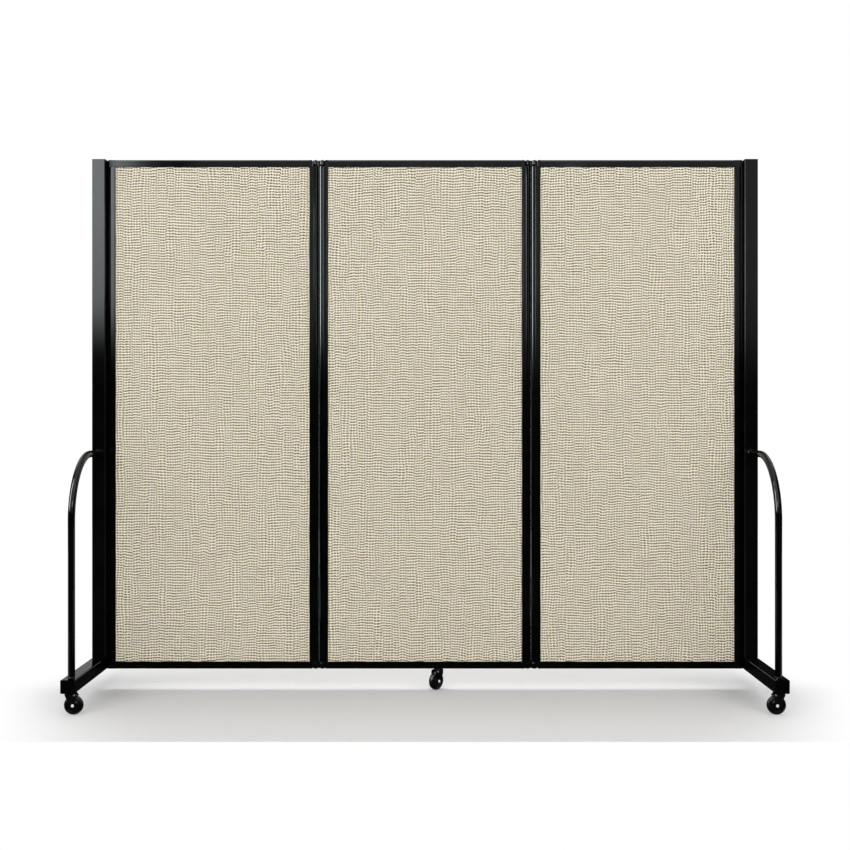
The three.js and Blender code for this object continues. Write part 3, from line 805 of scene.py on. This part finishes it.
# Profiles as (radius, height) pairs: height above the floor for the race, and from the middle for the wheel
RACE_AND_STEM = (
    (0.0003, 0.0555),
    (0.0110, 0.0555),
    (0.0116, 0.0561),
    (0.0116, 0.0574),
    (0.0112, 0.0576),
    (0.0108, 0.0577),
    (0.0108, 0.0580),
    (0.0112, 0.0581),
    (0.0116, 0.0583),
    (0.0116, 0.0594),
    (0.0113, 0.0597),
    (0.0047, 0.0597),
    (0.0047, 0.0702),
    (0.0039, 0.0710),
    (0.0003, 0.0710),
)
RACE_SIDES = 56
WHEEL_HUB = [(0.0033, 0.0087), (0.0064, 0.0087), (0.0070, 0.0081), (0.0070, 0.0058), (0.0074, 0.0054)]
WHEEL_RING = [(0.0096, 0.0054), (0.0100, 0.0068), (0.0104, 0.0071), (0.0110, 0.0070), (0.0126, 0.0056)]
WHEEL_WEB = [(0.0130, 0.0053), (0.0166, 0.0053)]
WHEEL_RIM = [(0.0170, 0.0066), (0.0174, 0.0069), (0.0180, 0.0068), (0.0196, 0.0055), (0.0203, 0.0054)]
WHEEL_SEAT = [(0.0209, 0.0054), (0.0209, 0.0040)]
WHEEL_SIDES = 72
TYRE_SHOULDER = [(0.0206, 0.0060), (0.0209, 0.0074), (0.0213, 0.0078), (0.0220, 0.0078), (0.0232, 0.0072)]
TYRE_TREAD = [(0.0241, 0.0062), (0.0247, 0.0046), (0.02495, 0.0030), (0.0250, 0.0018)]
TYRE_SIDES = 96

# Rivet heads as (radius, height above the fork's face) pairs. The axle's head has a dimple
AXLE_HEAD = (
    (0.0030, 0.0),
    (0.0038, 0.0),
    (0.0040, 0.0002),
    (0.0040, 0.0009),
    (0.0037, 0.0014),
    (0.0031, 0.0018),
    (0.0022, 0.0019),
    (0.0014, 0.0018),
    (0.0009, 0.0013),
    (0.0002, 0.0011),
)
AXLE_SIDES = 40
BRAKE_RIVET_HEAD = (
    (0.0016, 0.0),
    (0.0023, 0.0),
    (0.0024, 0.0001),
    (0.0024, 0.0004),
    (0.0020, 0.0007),
    (0.0012, 0.0008),
    (0.0002, 0.0008),
)
BRAKE_RIVET_SIDES = 32

# Brake lever: a hub round its rivet, a cam above the wheel and a pedal with ridges across it
LEVER_SLOPE = math.radians(22)
LEVER_SIDE_GAP = 0.0006
LEVER_HUB = 0.0023
LEVER_REACH = 0.0086
LEVER_THICKNESS = 0.0020
LEVER_BEVEL = 0.0003
PEDAL_ROOT = (0.001, 0.0002)
CAM_GAP = 0.00035
CAM_HALF_ANGLE = 22.5
RIDGE_COUNT = 3
RIDGE_START = 0.0042
RIDGE_PITCH = 0.0014
RIDGE_HALF_WIDTH = 0.0004
RIDGE_HALF_TOP = 0.0002
RIDGE_SINK = 0.0002
RIDGE_RISE = 0.0003
RIDGE_END_GAP = 0.0012


def plate_outline():
    """A side plate from the side: round the axle boss, up the swept lead edge and over the head."""
    outline = arc(WHEEL_TRAIL, WHEEL_RADIUS, FORK_BOSS, 0, -180, 20)
    sweep_start = (WHEEL_TRAIL - FORK_BOSS, WHEEL_RADIUS)
    sweep_pull = (FORK_BOSS - FORK_LEAD, WHEEL_RADIUS + 2 * FORK_BOSS)
    outline += bezier(sweep_start, sweep_pull, (-FORK_LEAD, FORK_TOP - FORK_SWEEP_END), 12)
    lead, tail = FORK_LEAD_CORNER, FORK_TAIL_CORNER
    outline += arc(-FORK_LEAD + lead, FORK_TOP - lead, lead, 180, 90, 3)
    outline += arc(FORK_TAIL - tail, FORK_TOP - tail, tail, 90, 0, 8)
    return outline


def pull_in(bm):
    """Moves what lies outside the crown's rounded lead onto it."""
    cx, cy = CROWN_RADIUS - FORK_LEAD, FORK_OUTER - CROWN_RADIUS
    for v in bm.verts:
        if v.co.x < cx and abs(v.co.y) > cy:
            side = 1 if v.co.y > 0 else -1
            offset = Vector((v.co.x - cx, abs(v.co.y) - cy))
            if offset.length > CROWN_RADIUS:
                offset *= CROWN_RADIUS / offset.length
                v.co.x, v.co.y = cx + offset.x, side * (cy + offset.y)


def fork_mesh(name):
    """Two side plates swept from axle boss to rounded head, the crown over the wheel and the ball race."""
    bm = bmesh.new()
    outline = plate_outline()
    for side in (-1, 1):
        low, high = sorted((side * (FORK_OUTER - PLATE_THICKNESS), side * FORK_OUTER))
        plate = bmesh.new()
        add_prism(plate, outline, low, high, PLATE_BEVEL, "Y", 3)
        pull_in(plate)
        move_into(bm, plate)
    crown = arc(CROWN_RADIUS - FORK_LEAD, FORK_OUTER - CROWN_RADIUS, CROWN_RADIUS, 180, 90, 10)
    crown.append((CROWN_TAIL, FORK_OUTER))
    crown += [(x, -y) for x, y in reversed(crown)]
    add_prism(bm, crown, CROWN_LOW, FORK_TOP + CROWN_PROUD, CROWN_BEVEL, "Z", 3)
    add_lathe(bm, RACE_AND_STEM, "Z", (0, 0, 0), RACE_SIDES)
    return to_mesh(name, bm)


def wheel_meshes(name):
    """The wheel's moulded centre, with its hub, ring and rim, and the tyre round it."""
    centre = (WHEEL_TRAIL, 0, WHEEL_RADIUS)
    half = WHEEL_HUB + WHEEL_RING + WHEEL_WEB + WHEEL_RIM + WHEEL_SEAT
    core = bmesh.new()
    add_loop_lathe(core, half + reflected(half), centre, WHEEL_SIDES)
    tyre_half = TYRE_SHOULDER + TYRE_TREAD
    tyre = bmesh.new()
    add_loop_lathe(tyre, tyre_half + reflected(tyre_half), centre, TYRE_SIDES)
    return to_mesh(name + "_core", core), to_mesh(name + "_tyre", tyre)


def rivet_mesh(name, head, centre, sides):
    """A rivet through the fork, with the same head at each end."""
    end = [(radius, FORK_OUTER + SEAT_GAP + rise) for radius, rise in head]
    bm = bmesh.new()
    add_lathe(bm, reflected(end) + end, "Y", centre, sides)
    return to_mesh(name, bm)


def lever_outline():
    """The lever from the side, with its rivet at the origin and its pedal along X."""
    across, rise = BRAKE_PIN.x - WHEEL_TRAIL, BRAKE_PIN.z - WHEEL_RADIUS
    cam = math.hypot(across, rise) - WHEEL_RADIUS - CAM_GAP
    cam_angle = math.degrees(-math.pi + math.atan2(rise, across) + LEVER_SLOPE)
    half = LEVER_THICKNESS / 2
    root_out, root_down = PEDAL_ROOT
    outline = [(0.0, LEVER_HUB)]
    outline += arc(LEVER_REACH - half, 0, half, 90, -90, 8)
    outline += [(LEVER_HUB + root_out, -half), (LEVER_HUB, -half - root_down)]
    outline += [(cam * math.cos(math.radians(cam_angle)), cam * math.sin(math.radians(cam_angle)))]
    outline += arc(0, 0, LEVER_HUB, cam_angle - CAM_HALF_ANGLE, -270, 14)[:-1]
    return outline


def lever_mesh(name):
    """The foot lever with its ribbed pedal, turned on its rivet to its slope at rest."""
    half = FORK_OUTER - PLATE_THICKNESS - LEVER_SIDE_GAP
    bm = bmesh.new()
    add_prism(bm, lever_outline(), -half, half, LEVER_BEVEL)
    low, high = LEVER_THICKNESS / 2 - RIDGE_SINK, LEVER_THICKNESS / 2 + RIDGE_RISE
    for i in range(RIDGE_COUNT):
        x = RIDGE_START + RIDGE_PITCH * i
        ridge = [(x - RIDGE_HALF_WIDTH, low), (x + RIDGE_HALF_WIDTH, low)]
        ridge += [(x + RIDGE_HALF_TOP, high), (x - RIDGE_HALF_TOP, high)]
        add_prism(bm, ridge, -half + RIDGE_END_GAP, half - RIDGE_END_GAP, 0)
    lever = to_mesh(name, bm)
    lever.transform(Matrix.Translation(BRAKE_PIN) @ Matrix.Rotation(LEVER_SLOPE, 4, "Y"))
    return lever


def add_castor(name, x, y, degrees):
    place = Matrix.Translation((x, y, 0)) @ Matrix.Rotation(math.radians(degrees), 4, "Z")
    wheel, brake = f"{name}_wheel", f"{name}_brake"
    core, tyre = wheel_meshes("wheel")
    axle = rivet_mesh("axle", AXLE_HEAD, (WHEEL_TRAIL, 0, WHEEL_RADIUS), AXLE_SIDES)
    rivet = rivet_mesh("brake_rivet", BRAKE_RIVET_HEAD, BRAKE_PIN, BRAKE_RIVET_SIDES)
    piece(f"{name}_fork_shell", fork_mesh("fork"), name, BLACK_CASTOR, [f"{name}_fork"], place)
    piece(f"{wheel}_core", core, wheel, BLACK_CASTOR, [wheel], place)
    piece(f"{wheel}_tyre", tyre, wheel, TYRE, [wheel], place)
    piece(f"{name}_axle_rivet", axle, name, BRIGHT, [f"{name}_axle"], place)
    piece(f"{brake}_lever", lever_mesh("brake"), brake, BLACK_CASTOR, [brake], place)
    piece(f"{brake}_rivet", rivet, brake, GREY_RIVET, [brake], place)


def add_castors():
    for side, x, degrees in (("left", -POST_CENTRE, 0), ("right", POST_CENTRE, 180)):
        add_castor(f"front_{side}_castor", x, -CASTOR_Y, degrees)
        add_castor(f"rear_{side}_castor", x, CASTOR_Y, degrees)
    add_castor("middle_castor", MIDDLE_CASTOR_X, 0, MIDDLE_CASTOR_TURN)


# stage and light

WORLD_LIGHT = 0.60
FLOOR_TONE = (0.74, 0.74, 0.745)
FLOOR_NEAR = -0.566
FLOOR_FAR = 9.0
FLOOR_GLOW = 0.05
FLOOR_WHITE = 0.6

# Where the floor fades into white: behind, at the sides, and at the front corners
FADE_SIDE_SHARE = 0.30
FADE_SIDE_POWER = 4.0
FADE_NEAR_SHARE = 0.55
FADE_RANGE = (0.2, 0.7)


def seen_share(tree):
    """1 for camera, glossy and transmission rays, and 0 for the rays that light things."""
    path = tree.nodes.new("ShaderNodeLightPath")
    total = path.outputs["Is Camera Ray"]
    for socket in ("Is Glossy Ray", "Is Transmission Ray"):
        node = tree.nodes.new("ShaderNodeMath")
        node.operation = "MAXIMUM"
        tree.links.new(total, node.inputs[0])
        tree.links.new(path.outputs[socket], node.inputs[1])
        total = node.outputs[0]
    return total


def make_world(light):
    """White where it is seen, and an even light on everything."""
    world = bpy.data.worlds.new("studio")
    bpy.context.scene.world = world
    world.use_nodes = True
    tree = world.node_tree
    background = tree.nodes["Background"]
    background.inputs["Color"].default_value = (1, 1, 1, 1)
    strength = tree.nodes.new("ShaderNodeMapRange")
    strength.inputs["To Min"].default_value = light
    strength.inputs["To Max"].default_value = 1.0
    tree.links.new(seen_share(tree), strength.inputs["Value"])
    tree.links.new(strength.outputs["Result"], background.inputs["Strength"])


def floor_look():
    """Pale studio floor that takes the shadow and fades into the white behind and beside the screen."""
    look = Look("studio_floor")
    look.set(Base_Color=(*FLOOR_TONE, 1.0), Roughness=0.75, Specular_IOR_Level=0.1)
    at = look.place()
    aside = look.math("ABSOLUTE", at["X"])
    back = look.math("MAXIMUM", at["Y"], 0.0)
    front = look.math("MAXIMUM", look.product(at["Y"], -1.0), 0.0)
    sideways = look.product(look.math("POWER", aside, FADE_SIDE_POWER), FADE_SIDE_SHARE)
    near = look.product(front, FADE_NEAR_SHARE, aside)
    fade = look.ramp(look.total(back, sideways, near), over=FADE_RANGE)
    seen = seen_share(look.tree)
    glow = look.glow(look.product(seen, FLOOR_GLOW))
    white = look.glow(look.ramp(seen, to=(FLOOR_WHITE, 1.0)))
    both = look.add("ShaderNodeAddShader")
    look.tree.links.new(look.shader.outputs[0], both.inputs[0])
    look.tree.links.new(glow.outputs[0], both.inputs[1])
    blend = look.add("ShaderNodeMixShader")
    look.tree.links.new(fade, blend.inputs[0])
    look.tree.links.new(both.outputs[0], blend.inputs[1])
    look.tree.links.new(white.outputs[0], blend.inputs[2])
    look.show(blend)
    return look.material


def flat_object(name, corners, material):
    mesh = bpy.data.meshes.new(name)
    mesh.from_pydata([Vector(c) for c in corners], [], [(0, 1, 2, 3)])
    mesh.materials.append(material)
    obj = bpy.data.objects.new(name, mesh)
    bpy.context.scene.collection.objects.link(obj)
    return obj


def glow_card(name, corners, level_of, colour=(1.0, 1.0, 1.0)):
    """A studio card that only reflections see, so it shapes the gloss and lights nothing.

    Its glow is what level_of works out from the place of a point on it.
    """
    look = Look(name)
    look.show(look.glow(level_of(look, look.place()), colour))
    card = flat_object(name, corners, look.material)
    card.visible_camera = False
    card.visible_diffuse = False
    card.visible_transmission = False
    card.visible_shadow = False
    card.visible_volume_scatter = False


def wall(y, x, z):
    """Corners of an upright card that faces along Y."""
    return [(x[0], y, z[0]), (x[1], y, z[0]), (x[1], y, z[1]), (x[0], y, z[1])]


def side_wall(x, y, z):
    """Corners of an upright card that faces along X."""
    return [(x, y[0], z[0]), (x, y[1], z[0]), (x, y[1], z[1]), (x, y[0], z[1])]


def level_card(z, x, y):
    """Corners of a level card."""
    return [(x[0], y[0], z), (x[1], y[0], z), (x[1], y[1], z), (x[0], y[1], z)]


# How bright the cards glow, where 1 is white
BLACK_LEVEL = 0.012
FLOOR_BLACK = 0.015
WALL_LEVEL = 0.35
PATCH_LEVEL = 0.38
TOP_LEVEL = 1.5
BOX_LEVEL = 4.2
LINE_LEVEL = 5.0
STREAK_LEVEL = 12.0
SIDE_LEVEL = 18.0
COOL = (0.93, 1.0, 1.025)


def window(look, value, between, soft):
    """1 between two values, falling to 0 over the soft width at each."""
    low, high = between
    rise = look.ramp(value, over=(low - soft / 2, low + soft / 2))
    fall = look.ramp(value, over=(high - soft / 2, high + soft / 2), to=(1.0, 0.0))
    return look.product(rise, fall)


def front_wall(look, at):
    """Black low down, where the rails and posts see it, and grey above."""
    return look.total(look.product(look.ramp(at["Z"], over=(0.90, 1.75)), WALL_LEVEL), BLACK_LEVEL)


def left_box(look, at):
    """A soft box on the left of the front wall, brighter towards its top."""
    wide = window(look, at["X"], between=(-2.45, -1.87), soft=0.25)
    tall = window(look, at["Z"], between=(1.40, 4.6), soft=0.42)
    return look.product(wide, tall, look.ramp(at["Z"], over=(1.5, 2.3), to=(0.72, 1.0)), BOX_LEVEL)


def right_side(look, at):
    """Black beside the screen and white behind it."""
    white = look.product(look.ramp(at["Y"], over=(1.4, 2.2)), look.ramp(at["Z"], over=(1.5, 2.5)))
    return look.total(white, BLACK_LEVEL)


def left_side(look, at):
    """As the right side, with a tall soft box in front of the screen."""
    deep = window(look, at["Y"], between=(-3.3, -1.3), soft=0.3)
    box = look.product(deep, look.ramp(at["Z"], over=(1.15, 1.60)), SIDE_LEVEL)
    return look.total(box, right_side(look, at))


def back_wall(look, at):
    """Dark where the black edges see it, with a grey patch for the left foot and a paler top."""
    wide = window(look, at["X"], between=(-3.0, -1.3), soft=0.2)
    tall = window(look, at["Z"], between=(0.3, 1.7), soft=0.2)
    sides = look.ramp(look.math("ABSOLUTE", at["X"]), over=(2.8, 3.6), to=(WALL_LEVEL, 1.0))
    upper = look.product(look.ramp(at["Z"], over=(1.6, 3.0)), sides)
    return look.total(look.product(wide, tall, PATCH_LEVEL), upper, BLACK_LEVEL)


def nearly_even(level):
    """A glow of one level, a tenth weaker at the floor."""
    return lambda look, at: look.product(look.ramp(at["Z"], over=(0.0, 3.0), to=(0.9, 1.0)), level)


def make_cards():
    """The studio as the gloss sees it: soft boxes, and dark cards between them."""
    glow_card("card_front", wall(y=-4.2, x=(-9, 9), z=(-4, 2.6)), front_wall)
    glow_card("card_left_box", wall(y=-4.15, x=(-4.8, -1.5), z=(0.8, 5.2)), left_box, COOL)
    streak = wall(y=-2.52, x=(-0.20, 0.26), z=(1.38, 1.86))
    glow_card("card_streak_near", streak, nearly_even(STREAK_LEVEL), COOL)
    line = wall(y=-1.20, x=(0.53, 0.60), z=(1.09, 1.74))
    glow_card("card_line", line, nearly_even(LINE_LEVEL), COOL)
    glow_card("card_left", side_wall(x=-4.9, y=(-4.2, 5), z=(-0.5, 7)), left_side, COOL)
    glow_card("card_right", side_wall(x=4.9, y=(-4.2, 5), z=(-0.5, 7)), right_side)
    glow_card("card_back", wall(y=5, x=(-9, 9), z=(-0.5, 8)), back_wall)
    top = level_card(z=2.1, x=(-1.1, 1.1), y=(-1.7, -0.7))
    glow_card("card_top", top, nearly_even(TOP_LEVEL), COOL)
    low = level_card(z=0.0008, x=(-1.3, 1.3), y=(FLOOR_NEAR, 2.4))
    glow_card("card_floor", low, nearly_even(FLOOR_BLACK))


def area_light(name, at, target, size, level):
    """A rectangular lamp whose face is as bright as level, where 1 is white. In gloss, cards stand for it."""
    data = bpy.data.lights.new(name, "AREA")
    data.shape = "RECTANGLE"
    data.size, data.size_y = size
    data.energy = level * math.pi * data.size * data.size_y
    lamp = bpy.data.objects.new(name, data)
    bpy.context.scene.collection.objects.link(lamp)
    lamp.location = at
    lamp.rotation_euler = (Vector(target) - Vector(at)).to_track_quat("-Z", "Y").to_euler()
    lamp.visible_glossy = False
    lamp.visible_camera = False


def make_stage():
    floor = level_card(z=0.0, x=(-FLOOR_FAR, FLOOR_FAR), y=(FLOOR_NEAR, FLOOR_FAR))
    flat_object("floor", floor, floor_look())
    make_cards()
    make_world(WORLD_LIGHT)
    for name, x in (("key_left", -2.80), ("fill_right", 2.80)):
        area_light(name, at=(x, -3.6, 2.55), target=(x, 0.0, 2.55), size=(2.2, 2.2), level=4.5)
    area_light("top_back", at=(0.0, 0.9, 3.6), target=(0.0, 0.3, 0.0), size=(3.6, 1.6), level=4.2)


# camera, level and square to the panels, as the photograph's was

CAMERA_PLACE = (0.0, -3.407, 0.770)
LENS = 50.0
SENSOR_WIDTH = 36.0
PICTURE_WIDTH = 850.0
SHIFT_DOWN = -3.0


def make_camera():
    data = bpy.data.cameras.new("camera")
    data.lens = LENS
    data.sensor_width = SENSOR_WIDTH
    data.shift_y = SHIFT_DOWN / PICTURE_WIDTH
    camera = bpy.data.objects.new("camera", data)
    bpy.context.scene.collection.objects.link(camera)
    camera.location = CAMERA_PLACE
    camera.rotation_euler = (math.pi / 2, 0, 0)
    bpy.context.scene.camera = camera


make_camera()
add_fabric()
add_handles()
add_links()
add_castors()
dress_nodes()
make_stage()

scene = bpy.context.scene
scene.view_settings.view_transform = "Standard"
